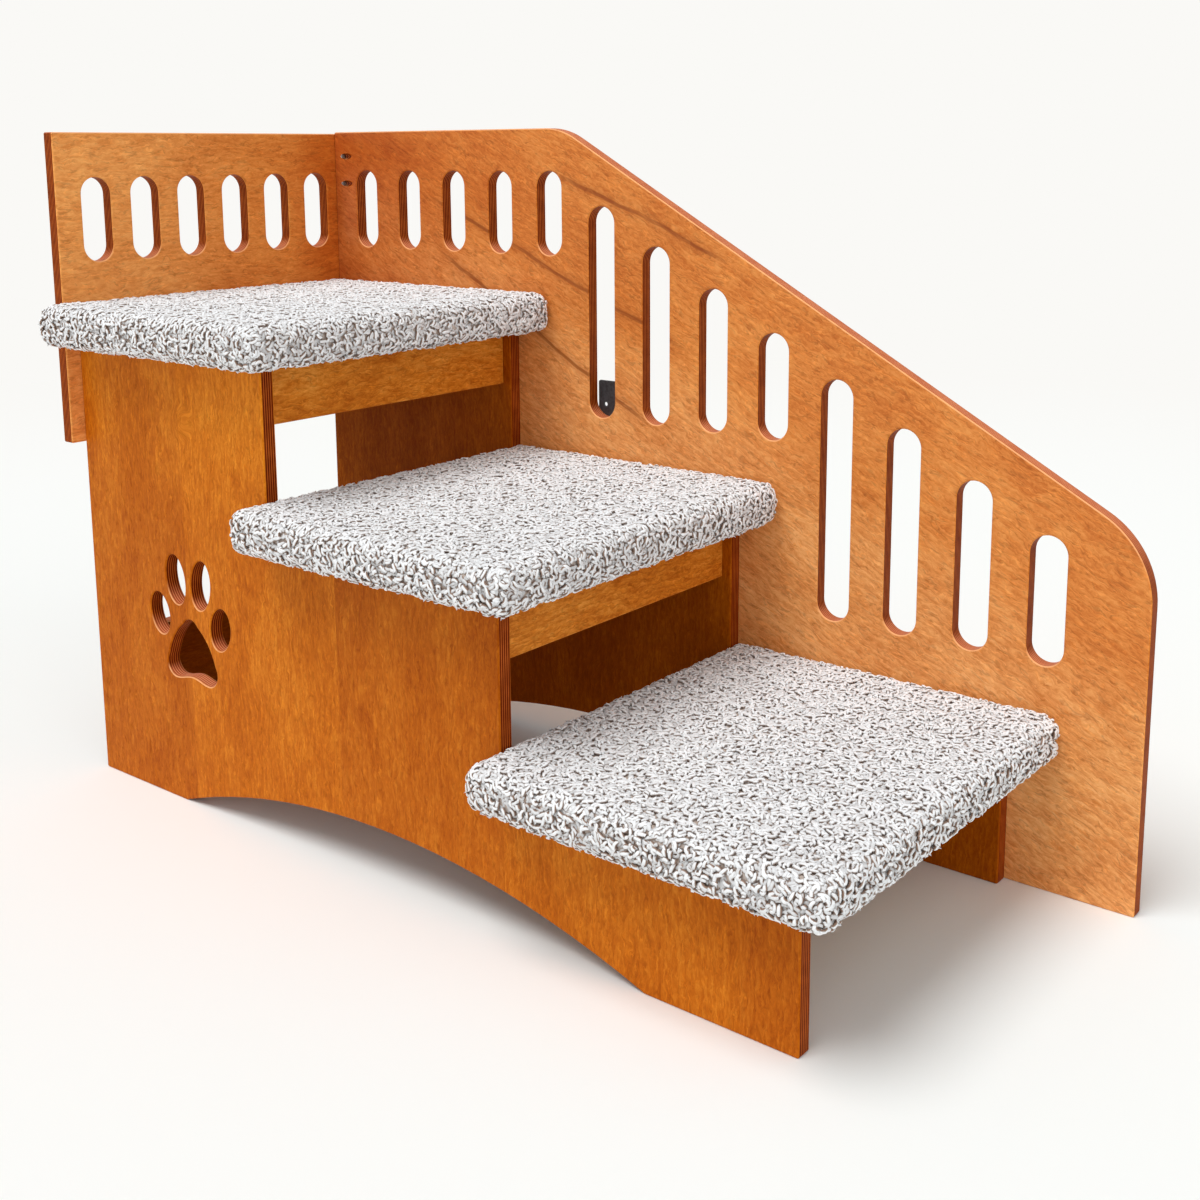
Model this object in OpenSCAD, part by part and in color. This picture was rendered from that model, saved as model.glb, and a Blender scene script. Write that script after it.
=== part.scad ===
// Pet stairs: three carpeted treads between two stepped side panels, with a
// slotted railing along the right-hand side and a slotted rail across the high end.
// Millimetres, +Z up. A pet climbs from -Y to +Y with the railing on its +X side.

/* [Sheets] */
// Thickness of every plywood sheet
sheet_t = 18; // [12:0.5:24]
// Depth of one step, from one riser to the next
step_run = 340; // [280:5:400]
// Height from one carpeted tread to the next
step_rise = 197; // [160:1:220]
// From the near panel's outer face to the railing's inner face
stair_w = 416; // [340:2:520]

/* [Side panels] */
// Length of each foot on the floor
foot_len = 165; // [100:5:240]
// Height of the arch between the feet
arch_rise = 60; // [30:1:90]

/* [Paw cutout] */
// From the panel's rear edge to the middle of the paw
paw_from_back = 190; // [110:1:220]
// Height of the middle of the big pad
paw_z = 192; // [150:1:240]
// Height of the big pad
pad_h = 75; // [50:1:90]
// Width of the big pad
pad_w = 94; // [60:1:110]
// Length of an inner toe
toe_len = 60; // [40:1:70]
// Width of a toe
toe_w = 36; // [24:1:40]

/* [Railing] */
// Height of the railing above the floor
rail_h = 793; // [720:1:900]
// How far the railing runs in front of the side panels
rail_nose = 138; // [90:1:180]
// Length of the railing's level top
rail_level = 412; // [340:1:460]
// Height at which the sloping top meets the front edge
rail_front_h = 381; // [320:1:430]
// Radius where the level top turns into the slope
top_corner_r = 100; // [20:1:150]
// Radius where the slope turns down into the front edge
front_corner_r = 100; // [20:1:120]

/* [Slots] */
// Width of a slot
slot_w = 40; // [28:1:46]
// From one slot to the next along the side railing
slot_pitch = 82.5; // [75:0.5:100]
// From the corner to the middle of the first slot
slot_first = 62; // [58:1:90]
// Least room kept between the last slot's middle and the front edge
slot_front_room = 100; // [80:1:140]
// From a tread's carpet up to the bottom of the slots beside it
slot_sill = 46; // [30:1:60]
// Wood left between a slot and the top edge over it
slot_head = 52; // [35:1:70]

/* [Back rail] */
// Height of the back rail's lower edge
back_rail_z = 420; // [380:1:450]
// How far the back rail's top lies under the railing's
back_rail_drop = 2; // [0:0.5:10]
// How far the back rail sticks out past the near panel
back_rail_end = 18; // [5:1:40]
// From one slot to the next along the back rail
back_slot_pitch = 68.7; // [60:0.1:85]
// Least room kept beside the back rail's outer slots
back_slot_room = 30; // [26:1:45]
// Wood left above the back rail's slots
back_slot_head = 53; // [35:1:70]

/* [Treads] */
// How far a tread board sticks out past the panels
tread_nose = 40; // [20:1:60]
// Thickness of the carpet with its pile
carpet_t = 15; // [8:0.5:18]
// Thickness of the carpet where a board is pushed against wood
pressed_t = 8; // [6:0.5:10]
// Radius of the carpet's long edges
carpet_round = 17; // [10:1:20]
// Radius of the carpet's corners, seen from above
carpet_corner = 20; // [14:1:22]

/* [Cross boards] */
// Height of the boards under the top and middle treads
apron_h = 86; // [70:1:110]
// How far they stand behind the panels' front edges
apron_setback = 11.5; // [5:0.5:20]
// Height of the board across the back at the bottom
stretcher_h = 110; // [80:1:130]
// Height of that board's lower edge
stretcher_z = 62; // [20:1:90]

/* [Cleats] */
// Width and height of a cleat
cleat_s = 20; // [16:1:24]
// Bare stretch left behind a cleat
cleat_gap = 20; // [5:1:40]

/* [Fasteners] */
// Radius of a screw's shank
shank_r = 2; // [1.5:0.1:2.5]
// Radius of a round screw head
head_r = 3.8; // [3:0.1:4.5]
// Height of a round screw head
head_h = 2.4; // [1.6:0.1:3]
// Radius of a pocket hole
pocket_r = 4.2; // [4:0.1:5]
// Angle of a pocket hole to the board's face
pocket_angle = 20; // [16:1:24]
// Solid wood left between a pocket and the board's end
pocket_wall = 11; // [9:0.5:13]
// Length of a pocket screw in the next board
pocket_bite = 15; // [10:0.5:16]
// Height of the upper pocket hole under the railing's top
corner_pocket_drop = 33; // [20:1:60]
// Distance between the two pocket holes at the railing's corner
corner_pocket_gap = 37; // [25:1:60]
// Length of the screws that hold cleats and treads
cleat_screw_len = 32; // [26:1:34]
// Length of the back rail's screws
back_screw_len = 45; // [35:1:60]
// Length of the screws between the far panel and the railing
rail_screw_len = 31; // [25:1:33]

/* [Fixing plate] */
// Width of the steel plate on the railing's outer face
plate_w = 38; // [30:1:60]
// Height of the plate
plate_h = 110; // [80:1:130]
// Thickness of the plate
plate_t = 2.5; // [1.5:0.1:4]
// How far the plate reaches up over the slot behind it
plate_over_slot = 44; // [30:1:60]
// Radius of the plate's holes
plate_hole_r = 2.6; // [2.1:0.1:3.2]

/* [Hidden] */
// The round edges of true curves
$fn = 64;
// Cuts run this far past the faces that they open
over = 1;
// Radial room between a screw and its hole
screw_room = 0.1;
// Points on a toe, on each round of the pad, and on each round of the railing's edge
toe_corners = 40;
pad_corners = 10;
arc_steps = 16;
// Steps and treads: 0 is the top one
steps = 3;
// Depth of a countersunk head and its radius at the face
sink_h = 2.6;
sink_r = 4;
// Gap between the carpet's hem and the panels
hem_gap = 1;
// A staple's crown: length, width and height, and the room between staples
staple_len = 11;
staple_w = 1.4;
staple_h = 0.9;
staple_gap = 48;
// A tread board's corner radius
board_round = 6;
// Shares of a cleat's length at which its screws stand
side_screw_shares = [0.12, 0.88];
lift_screw_shares = [0.3, 0.7];
// Shares of a cross board's height at which its pocket holes stand
pocket_shares = [0.28, 0.72];
// Shares of a step's depth at which the railing's screws stand, and how far they are below
// a board as a share of the cross boards' height
rail_screw_shares = [0.25, 0.75];
rail_screw_drop_share = 0.58;
// Each row of these screws: the step that it is under and the step whose board it is below
rail_screw_steps = concat([for (k = [0:steps - 1]) [k, k]], [[0, steps - 1]]);
// Shares of the back rail's lower part at which its screws stand
back_screw_shares = [0.2, 0.75];
// Paw, as shares of the pad and the toes: places of the toes, their size and lean
inner_toe_share = 0.25;
outer_toe_share = 0.605;
inner_lift_share = 1.1;
outer_lift_share = 0.48;
outer_len_share = 0.86;
inner_lean = 9;
outer_lean = 13;
// Radius of the pad's rounds, bulge of its sides and rise of its bottom edge
pad_round_share = 0.22;
pad_bulge_share = 0.06;
pad_notch_share = 0.07;
// Plate holes: sideways offset and heights from the top as shares of the plate
plate_side_share = 0.21;
plate_hole_shares = [0.1, 0.27, 0.6, 0.86];
plate_round = 3;

panel_len = steps * step_run;
rail_len = panel_len + rail_nose;
pile_nose = tread_nose + carpet_t;
x_far = stair_w - sheet_t;
x_rail = stair_w + sheet_t;
slope_angle = atan((rail_h - rail_front_h) / (rail_len - rail_level));
arch_half = panel_len / 2 - foot_len;
arch_r = (arch_half * arch_half + arch_rise * arch_rise) / (2 * arch_rise);
board_h = carpet_t + sheet_t;
// The object's middle, so that the origin lies under it on the floor
mid_x = (x_rail + plate_t + head_h - pile_nose) / 2;
mid_y = (sheet_t - rail_len) / 2;

// Height of the carpet's top and of the board's underside on tread k
function tread_z(k) = (steps - k) * step_rise;
function seat_z(k) = tread_z(k) - board_h;
// Distance of tread k's rear edge and front riser line from the corner
function rear_of(k) = k * step_run;
function front_of(k) = (k + 1) * step_run;

function arc(c, r, a0, a1, n) =
    [for (i = [0:n]) let (a = a0 + (a1 - a0) * i / n) c + r * [cos(a), sin(a)]];
function ellipse(a, b, n) = [for (i = [0:n - 1]) [a * cos(360 * i / n), b * sin(360 * i / n)]];

// The frame in which the near panel's outer face is X 0 and the joint with the back rail Y 0
module stair_frame() {
    translate([-mid_x, -mid_y, 0]) children();
}

// A sheet that stands along the stairs: outline in (Y, Z), from x towards +X
module standing(x, t) {
    translate([x, 0, 0]) rotate([90, 0, 90]) linear_extrude(t) children();
}

// A sheet that stands across the stairs: outline in (X, Z), from y towards +Y
module across(y, t) {
    translate([0, y + t, 0]) rotate([90, 0, 0]) linear_extrude(t) children();
}

module slot(bottom, top, w) {
    r = w / 2;
    translate([-r, bottom + r]) square([w, top - bottom - w]);
    translate([0, bottom + r]) circle(r);
    translate([0, top - r]) circle(r);
}

// The arch between the feet, the same in both side panels and the railing
module arch() {
    translate([-panel_len / 2, arch_rise - arch_r]) circle(arch_r, $fn = 4 * $fn);
}

module step_outline() {
    points = concat([[0, 0]], [for (k = [0:steps - 1], end = [0, 1])
        [-rear_of(k + end), seat_z(k)]], [[-panel_len, 0]]);
    difference() {
        polygon(points);
        arch();
    }
}

module toe(side, out_share, lift_share, len_share, lean) {
    translate([side * out_share * pad_w, lift_share * pad_h]) rotate(-side * lean)
        polygon(ellipse(toe_w / 2, toe_len * len_share / 2, toe_corners));
}

// The pad: a round top, two round lobes, sides that bulge and a raised middle below
module pad() {
    r = pad_round_share * pad_h;
    lobe = [pad_w / 2 - r, r - pad_h / 2];
    top = [0, pad_h / 2 - r];
    tilt = atan2(lobe[0], top[1] - lobe[1]);
    bulge = pad_bulge_share * pad_h;
    notch = pad_notch_share * pad_h;
    right = [for (i = [1:pad_corners - 1]) let (s = i / pad_corners)
        lobe + (top - lobe) * s + (r + 4 * bulge * s * (1 - s)) * [cos(tilt), sin(tilt)]];
    half = concat(arc(lobe, r, -90, tilt, pad_corners), right, arc(top, r, tilt, 90, pad_corners));
    left = [for (i = [len(half) - 2:-1:0]) [-half[i][0], half[i][1]]];
    below = [for (i = [1:pad_corners - 1]) let (s = i / pad_corners)
        [-lobe[0] + 2 * lobe[0] * s, -pad_h / 2 + notch * (1 - cos(360 * s)) / 2]];
    polygon(concat(half, left, below));
}

module paw() {
    translate([-paw_from_back, paw_z]) {
        pad();
        for (side = [-1, 1]) {
            toe(side, inner_toe_share, inner_lift_share, 1, inner_lean);
            toe(side, outer_toe_share, outer_lift_share, outer_len_share, outer_lean);
        }
    }
}

// A pocket hole in a board that ends at X 0 and opens on its -Y face
module pocket_cut() {
    rotate(pocket_angle) rotate([0, 90, 0]) {
        translate([0, 0, -pocket_wall - sheet_t / sin(pocket_angle)])
            cylinder(h = sheet_t / sin(pocket_angle), r = pocket_r);
        translate([0, 0, -pocket_wall - over])
            cylinder(h = pocket_wall + pocket_bite + over, r = shank_r + screw_room);
    }
}

module pocket_screw() {
    rotate(pocket_angle) rotate([0, 90, 0]) translate([0, 0, -pocket_wall]) {
        translate([0, 0, -head_h]) cylinder(h = head_h, r = head_r);
        cylinder(h = pocket_wall + pocket_bite - over, r = shank_r);
    }
}

// Both ends of a cross board whose rear face carries the pockets
module at_board_ends(y, low, height) {
    for (share = pocket_shares) {
        z = low + share * height;
        translate([sheet_t, y + sheet_t / 2, z]) rotate(180) children();
        translate([x_far, y + sheet_t / 2, z]) mirror([0, 1, 0]) children();
    }
}

function apron_y(k) = -front_of(k) + apron_setback;
module at_apron_ends(k) {
    at_board_ends(apron_y(k), seat_z(k) - apron_h, apron_h) children();
}
module at_stretcher_ends() {
    at_board_ends(-sheet_t, stretcher_z, stretcher_h) children();
}
module at_corner_pockets() {
    for (drop = [corner_pocket_drop, corner_pocket_drop + corner_pocket_gap])
        translate([stair_w + sheet_t / 2, 0, rail_h - drop]) rotate(90) mirror([0, 1, 0]) children();
}

// Cleat k on the near (side 0) or far (side 1) panel
function cleat_x(side) = side == 0 ? sheet_t : x_far - cleat_s;
function cleat_front(k) = -front_of(k) + apron_setback + sheet_t;
function cleat_len(k) = -rear_of(k) - cleat_gap - cleat_front(k);
module at_side_screws(k, side) {
    for (share = side_screw_shares)
        translate([side == 0 ? sheet_t + cleat_s : x_far - cleat_s,
            cleat_front(k) + share * cleat_len(k), seat_z(k) - cleat_s / 2])
            rotate([0, side == 0 ? -90 : 90, 0]) children();
}
module at_lift_screws(k, side) {
    for (share = lift_screw_shares)
        translate([cleat_x(side) + cleat_s / 2, cleat_front(k) + share * cleat_len(k),
            seat_z(k) - cleat_s]) children();
}

// The screws from the far panel into the railing
module at_rail_screws() {
    for (at = rail_screw_steps, share = rail_screw_shares)
        translate([x_far, -rear_of(at[0]) - share * step_run,
            seat_z(at[1]) - apron_h * rail_screw_drop_share])
            rotate([0, 90, 0]) children();
}

// The back rail's screws into the rear edges of both side panels
module at_back_screws() {
    room = seat_z(0) - back_rail_z;
    for (x = [sheet_t / 2, x_far + sheet_t / 2], share = back_screw_shares)
        translate([x, sheet_t, back_rail_z + share * room]) rotate([90, 0, 0]) children();
}

module shank_hole(length) {
    translate([0, 0, -over]) cylinder(h = length + over, r = shank_r + screw_room);
}
module round_screw(length) {
    translate([0, 0, -head_h]) cylinder(h = head_h, r = head_r);
    cylinder(h = length - over, r = shank_r);
}
// A flush screw's hole and the screw, going in along +Z from the face at Z 0
module sunk_hole(length) {
    shank_hole(length);
    cylinder(h = sink_h + screw_room, r1 = sink_r + screw_room, r2 = shank_r + screw_room);
}
module sunk_screw(length) {
    cylinder(h = sink_h, r1 = sink_r, r2 = shank_r);
    cylinder(h = length - over, r = shank_r);
}

module side_panel(x, side) {
    difference() {
        standing(x, sheet_t) difference() {
            step_outline();
            if (side == 0) paw();
        }
        for (k = [0:steps - 1]) at_side_screws(k, side) shank_hole(cleat_screw_len);
        for (k = [0:steps - 2]) at_apron_ends(k) pocket_cut();
        at_stretcher_ends() pocket_cut();
        at_back_screws() shank_hole(back_screw_len);
        if (side == 1) at_rail_screws() sunk_hole(rail_screw_len);
    }
}

module near_side_panel() {
    color("#c26a24") stair_frame() side_panel(0, 0);
}
module far_side_panel() {
    color("#a85a1e") stair_frame() side_panel(x_far, 1);
}

// The side railing: its outline, its slots and their tops, which follow the edge above them
function slope_z(y) = rail_front_h + (rail_len - y) * tan(slope_angle);
function slot_y(i) = slot_first + i * slot_pitch;
function beside(y) = max(0, min(steps - 1, floor((y - slot_w / 2 - pile_nose) / step_run)));
function slot_top(y) = min(rail_h - slot_head, slope_z(y) - slot_head / cos(slope_angle));
slot_count = floor((rail_len - slot_first - slot_front_room) / slot_pitch) + 1;

module rail_outline() {
    turn = 90 - slope_angle;
    top_run = top_corner_r * tan(slope_angle / 2);
    front_run = front_corner_r * tan(turn / 2);
    top_c = [-rail_level + top_run, rail_h - top_corner_r];
    front_c = [-rail_len + front_corner_r, rail_front_h - front_run];
    difference() {
        polygon(concat(
            [[0, 0], [0, rail_h]],
            arc(top_c, top_corner_r, 90, 90 + slope_angle, arc_steps),
            arc(front_c, front_corner_r, 90 + slope_angle, 180, arc_steps),
            [[-rail_len, 0]]));
        arch();
        for (i = [0:slot_count - 1]) {
            y = slot_y(i);
            translate([-y, 0]) slot(tread_z(beside(y)) + slot_sill, slot_top(y), slot_w);
        }
    }
}

module side_rail() {
    color("#cf7b31") stair_frame() difference() {
        standing(stair_w, sheet_t) rail_outline();
        at_corner_pockets() pocket_cut();
        at_rail_screws() shank_hole(rail_screw_len);
        at_plate_screws() plate_screw_hole();
    }
}

module back_rail() {
    count = floor((stair_w - 2 * back_slot_room) / back_slot_pitch) + 1;
    first = (stair_w - (count - 1) * back_slot_pitch) / 2;
    top = rail_h - back_rail_drop;
    color("#c9752c") stair_frame() difference() {
        across(0, sheet_t) difference() {
            translate([-back_rail_end, back_rail_z])
                square([back_rail_end + x_rail, top - back_rail_z]);
            for (i = [0:count - 1]) translate([first + i * back_slot_pitch, 0])
                slot(tread_z(0) + slot_sill, top - back_slot_head, slot_w);
        }
        at_corner_pockets() pocket_cut();
        at_back_screws() sunk_hole(back_screw_len);
    }
}

module cross_board(y, low, height) {
    across(y, sheet_t) translate([sheet_t, low]) square([x_far - sheet_t, height]);
}
module apron(k) {
    color("#d08539") stair_frame() difference() {
        cross_board(apron_y(k), seat_z(k) - apron_h, apron_h);
        at_apron_ends(k) pocket_cut();
    }
}
module rear_stretcher() {
    color("#9c541d") stair_frame() difference() {
        cross_board(-sheet_t, stretcher_z, stretcher_h);
        at_stretcher_ends() pocket_cut();
    }
}

// A rectangle with round corners, from its low corner
module round_rect(w, d, r) {
    translate([r, 0]) square([w - 2 * r, d]);
    translate([0, r]) square([w, d - 2 * r]);
    for (x = [r, w - r], y = [r, d - r]) translate([x, y]) circle(r);
}

module board_blank(k) {
    w = stair_w - pressed_t + tread_nose;
    d = step_run - pressed_t + tread_nose;
    translate([-tread_nose, -front_of(k) - tread_nose, seat_z(k)])
        linear_extrude(sheet_t) round_rect(w, d, board_round);
}
module tread_board(k) {
    color("#b9824a") stair_frame() difference() {
        board_blank(k);
        for (side = [0, 1]) at_lift_screws(k, side) shank_hole(cleat_screw_len);
    }
}

// The carpet goes over the board, down its four sides and back under the two free edges
module tread_carpet(k) {
    w = stair_w + pile_nose;
    d = step_run + pile_nose;
    h = carpet_t + board_h;
    front = -front_of(k) - pile_nose;
    low = seat_z(k) - carpet_t;
    color("#d9d7d4") stair_frame() difference() {
        intersection() {
            translate([-pile_nose, front, low]) linear_extrude(h) round_rect(w, d, carpet_corner);
            standing(-pile_nose, w) translate([front, low]) round_rect(d, h, carpet_round);
            across(front, d) translate([-pile_nose, low]) round_rect(w, h, carpet_round);
        }
        board_blank(k);
        translate([-hem_gap, -front_of(k) - hem_gap, low - over])
            cube([stair_w + hem_gap + over, step_run + hem_gap + over, carpet_t + over]);
    }
}

module cleat(k, side) {
    color("#c98a4b") stair_frame() difference() {
        translate([cleat_x(side), cleat_front(k), seat_z(k) - cleat_s])
            cube([cleat_s, cleat_len(k), cleat_s]);
        at_side_screws(k, side) shank_hole(cleat_screw_len);
        at_lift_screws(k, side) shank_hole(cleat_screw_len);
    }
}

module rail_corner_screws() {
    color("silver") stair_frame() at_corner_pockets() pocket_screw();
}
module apron_screws() {
    color("silver") stair_frame() for (k = [0:steps - 2]) at_apron_ends(k) pocket_screw();
}
module stretcher_screws() {
    color("silver") stair_frame() at_stretcher_ends() pocket_screw();
}
module back_rail_screws() {
    color("silver") stair_frame() at_back_screws() sunk_screw(back_screw_len);
}
module side_rail_screws() {
    color("silver") stair_frame() at_rail_screws() sunk_screw(rail_screw_len);
}
module cleat_screws() {
    color("silver") stair_frame() for (k = [0:steps - 1], side = [0, 1])
        at_side_screws(k, side) round_screw(cleat_screw_len);
}
module tread_screws() {
    color("silver") stair_frame() for (k = [0:steps - 1], side = [0, 1])
        at_lift_screws(k, side) round_screw(cleat_screw_len);
}

// Staples along the middle of the hem, under the near edge and under the front edge
module carpet_staples() {
    hem = (tread_nose + hem_gap) / 2;
    color("silver") stair_frame() for (k = [0:steps - 1]) {
        low = seat_z(k) - carpet_t - staple_h;
        along = floor((step_run - tread_nose) / staple_gap);
        for (i = [1:along])
            translate([-hem - staple_len / 2, -front_of(k) + i * staple_gap, low])
                cube([staple_len, staple_w, staple_h]);
        wide = floor((stair_w - tread_nose) / staple_gap);
        for (i = [0:wide])
            translate([i * staple_gap, -front_of(k) - hem - staple_len / 2, low])
                cube([staple_w, staple_len, staple_h]);
    }
}

// The fixing plate hangs behind the first slot beside the middle tread
plate_slot = min([for (i = [0:slot_count - 1]) if (beside(slot_y(i)) == 1) i]);
plate_y = -slot_y(plate_slot);
plate_z = tread_z(1) + slot_sill + plate_over_slot - plate_h;
function plate_hole(i) = [plate_y + (i % 2 == 0 ? -1 : 1) * plate_side_share * plate_w,
    plate_z + plate_h * (1 - plate_hole_shares[i])];
module at_plate_screws() {
    for (i = [2, 3]) translate([x_rail + plate_t, plate_hole(i)[0], plate_hole(i)[1]])
        rotate([0, -90, 0]) children();
}
plate_screw_len = plate_t + sheet_t - over;
module plate_screw_hole() {
    shank_hole(plate_screw_len);
}
module fixing_plate() {
    color("#4a4b4d") stair_frame() standing(x_rail, plate_t) difference() {
        translate([plate_y - plate_w / 2, plate_z]) round_rect(plate_w, plate_h, plate_round);
        for (i = [0:len(plate_hole_shares) - 1]) translate(plate_hole(i)) circle(plate_hole_r);
    }
}
module fixing_plate_screws() {
    color("silver") stair_frame() at_plate_screws() round_screw(plate_screw_len);
}

near_side_panel();
far_side_panel();
side_rail();
back_rail();
apron(0);  // top_apron
apron(1);  // middle_apron
rear_stretcher();
tread_board(0);  // top_tread_board
tread_board(1);  // middle_tread_board
tread_board(2);  // bottom_tread_board
tread_carpet(0);  // top_tread_carpet
tread_carpet(1);  // middle_tread_carpet
tread_carpet(2);  // bottom_tread_carpet
cleat(0, 0);  // top_near_cleat
cleat(1, 0);  // middle_near_cleat
cleat(2, 0);  // bottom_near_cleat
cleat(0, 1);  // top_far_cleat
cleat(1, 1);  // middle_far_cleat
cleat(2, 1);  // bottom_far_cleat
rail_corner_screws();
apron_screws();
stretcher_screws();
back_rail_screws();
side_rail_screws();
cleat_screws();
tread_screws();
carpet_staples();
fixing_plate();
fixing_plate_screws();
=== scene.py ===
# %% [markdown]
# # Pet stairs
#
# Three carpeted treads climb between two stepped plywood panels. A tall slotted railing runs
# along one side and a lower one closes the high end. The construction comes in as a fixed
# frame of named nodes, at real size, in metres. This lesson only gives it its looks, and works
# every piece out from those nodes.

import math

import bmesh
import bpy
import numpy as np
from mathutils import Matrix, Vector


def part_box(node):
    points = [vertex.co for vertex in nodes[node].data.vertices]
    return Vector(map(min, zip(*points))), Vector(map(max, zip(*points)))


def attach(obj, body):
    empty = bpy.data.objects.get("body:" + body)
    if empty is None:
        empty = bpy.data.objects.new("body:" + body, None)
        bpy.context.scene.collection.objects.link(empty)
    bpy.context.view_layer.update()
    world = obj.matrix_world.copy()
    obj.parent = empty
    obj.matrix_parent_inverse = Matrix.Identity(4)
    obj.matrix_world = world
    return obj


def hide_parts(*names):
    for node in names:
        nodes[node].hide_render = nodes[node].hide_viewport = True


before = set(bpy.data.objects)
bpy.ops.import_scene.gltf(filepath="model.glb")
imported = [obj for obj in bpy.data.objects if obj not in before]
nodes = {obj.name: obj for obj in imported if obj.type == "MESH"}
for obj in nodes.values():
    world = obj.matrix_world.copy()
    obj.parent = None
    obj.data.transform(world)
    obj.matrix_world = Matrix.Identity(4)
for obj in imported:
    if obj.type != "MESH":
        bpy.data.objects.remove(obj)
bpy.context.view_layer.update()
MM = 0.001

# %% [markdown]
# ## The camera
#
# The picture that this model follows was taken from in front and to the left, with the camera
# at table height. Its frame was cropped afterwards, which a camera shows as a vertical shift. A
# look-at helper can't tell a tilt from a shift, so the three turns are written out here.

# %% Camera
CAMERA_PLACE = (-1.2098, -1.0586, 0.7640)
CAMERA_YAW, CAMERA_PITCH, CAMERA_ROLL = 51.10, 10.06, -0.39
LENS, SENSOR, SHIFT_UP = 45.36, 36.0, -0.15


def camera_axes(yaw, pitch, roll):
    """Right, up and back of a camera that looks along +Y, turned right, down and about its axis."""
    yaw, pitch, roll = (math.radians(x) for x in (yaw, pitch, roll))
    ahead = Vector((
        math.sin(yaw) * math.cos(pitch), math.cos(yaw) * math.cos(pitch), -math.sin(pitch)))
    level = Vector((math.cos(yaw), -math.sin(yaw), 0))
    up = level.cross(ahead)
    return (math.cos(roll) * level + math.sin(roll) * up,
            math.cos(roll) * up - math.sin(roll) * level, -ahead)


lens = bpy.data.cameras.new("camera")
lens.lens, lens.sensor_width, lens.shift_y = LENS, SENSOR, SHIFT_UP
camera = bpy.data.objects.new("camera", lens)
bpy.context.collection.objects.link(camera)
turned = Matrix(camera_axes(CAMERA_YAW, CAMERA_PITCH, CAMERA_ROLL)).transposed()
camera.matrix_world = Matrix.Translation(CAMERA_PLACE) @ turned.to_4x4()
bpy.context.scene.camera = camera
print("camera", [round(x, 2) for x in camera.location], "m")

# %% [markdown]
# ## Shader maths
#
# A material is a graph, but most of it is plain arithmetic, which reads better as Python.
# `Wire` holds one output of a node. Arithmetic with wires adds Math nodes, and the reflected
# forms let a number come first, as in `1 - mask`. Every other node comes from `node`, which
# sets the node's own settings first and its sockets after.

# %% A wire class
# A Mix node's sockets for its factor and for colours
MIX_FACTOR, MIX_FIRST, MIX_SECOND, MIX_RESULT = 0, 6, 7, 2


class Wire:
    """One output socket, with arithmetic."""

    def __init__(self, tree, socket=None):
        self.tree = tree
        self.socket = socket

    def node(self, kind, settings=None, inputs=None, output=0):
        """Adds a node and returns its output. A ramp's stops are one of its settings."""
        made = self.tree.nodes.new("ShaderNode" + kind)
        for name, value in (settings or {}).items():
            if name == "stops":
                fill_ramp(made.color_ramp, value)
            else:
                setattr(made, name, value)
        for name, value in (inputs or {}).items():
            if isinstance(value, Wire):
                self.tree.links.new(value.socket, made.inputs[name])
            else:
                made.inputs[name].default_value = value
        return Wire(self.tree, made.outputs[output])

    def maths(self, operation, *values):
        return self.node("Math", {"operation": operation}, dict(enumerate(values)))

    def __add__(self, other):
        return self.maths("ADD", self, other)

    def __sub__(self, other):
        return self.maths("SUBTRACT", self, other)

    def __mul__(self, other):
        return self.maths("MULTIPLY", self, other)

    def __truediv__(self, other):
        return self.maths("DIVIDE", self, other)

    def __rsub__(self, other):
        return self.maths("SUBTRACT", other, self)

    __radd__, __rmul__ = __add__, __mul__

    def absolute(self):
        return self.maths("ABSOLUTE", self)

    def least(self, other):
        return self.maths("MINIMUM", self, other)

    def most(self, other):
        return self.maths("MAXIMUM", self, other)

    def along(self, way):
        """How far this place lies along a direction."""
        return self.node("VectorMath", {"operation": "DOT_PRODUCT"}, {0: self, 1: way}, "Value")

    def step(self, start, end, low=0.0, high=1.0):
        """A soft step: low before start, high after end."""
        return self.node(
            "MapRange", {"interpolation_type": "SMOOTHSTEP"},
            {"Value": self, "From Min": start, "From Max": end, "To Min": low, "To Max": high})

    def middle(self, spread, low=0.0, high=1.0):
        """A soft step about 0.5, where most of a noise lies."""
        return self.step(0.5 - spread, 0.5 + spread, low, high)

    def ramp(self, places, colours):
        """A colour for each place from 0 to 1, blended between them."""
        return self.node("ValToRGB", {"stops": list(zip(places, colours))}, {0: self})

    def mix(self, first, second, blend="MIX"):
        """The first colour where this wire is 0, the second where it is 1."""
        return self.node(
            "Mix", {"data_type": "RGBA", "blend_type": blend},
            {MIX_FIRST: first, MIX_SECOND: second, MIX_FACTOR: self}, MIX_RESULT)

    def tint(self, base, by):
        """Multiplies a colour by another where this wire is 1."""
        return self.mix(base, (*by, 1), "MULTIPLY")


print("wires ready")


# %% Ramps, colours and materials
def fill_ramp(ramp, stops):
    while len(ramp.elements) < len(stops):
        ramp.elements.new(1)
    for element, (place, colour) in zip(ramp.elements, stops):
        element.position, element.color = place, colour


def colour(red, green, blue):
    """A colour from 0 to 255, as the linear numbers that shaders use."""
    shares = [x / 255 for x in (red, green, blue)]
    return (*[x / 12.92 if x <= 0.04045 else ((x + 0.055) / 1.055) ** 2.4 for x in shares], 1)


def new_material(name, **constants):
    """A material, its Principled node and a wire to build on."""
    made = bpy.data.materials.new(name)
    made.use_nodes = True
    shader = made.node_tree.nodes["Principled BSDF"]
    for socket, value in constants.items():
        shader.inputs[socket.replace("_", " ")].default_value = value
    return made, shader, Wire(made.node_tree)


def feed(shader, **wires):
    """Links wires to a shader's inputs; Base_Color stands for Base Color."""
    for socket, wire in wires.items():
        wire.tree.links.new(wire.socket, shader.inputs[socket.replace("_", " ")])


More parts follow.
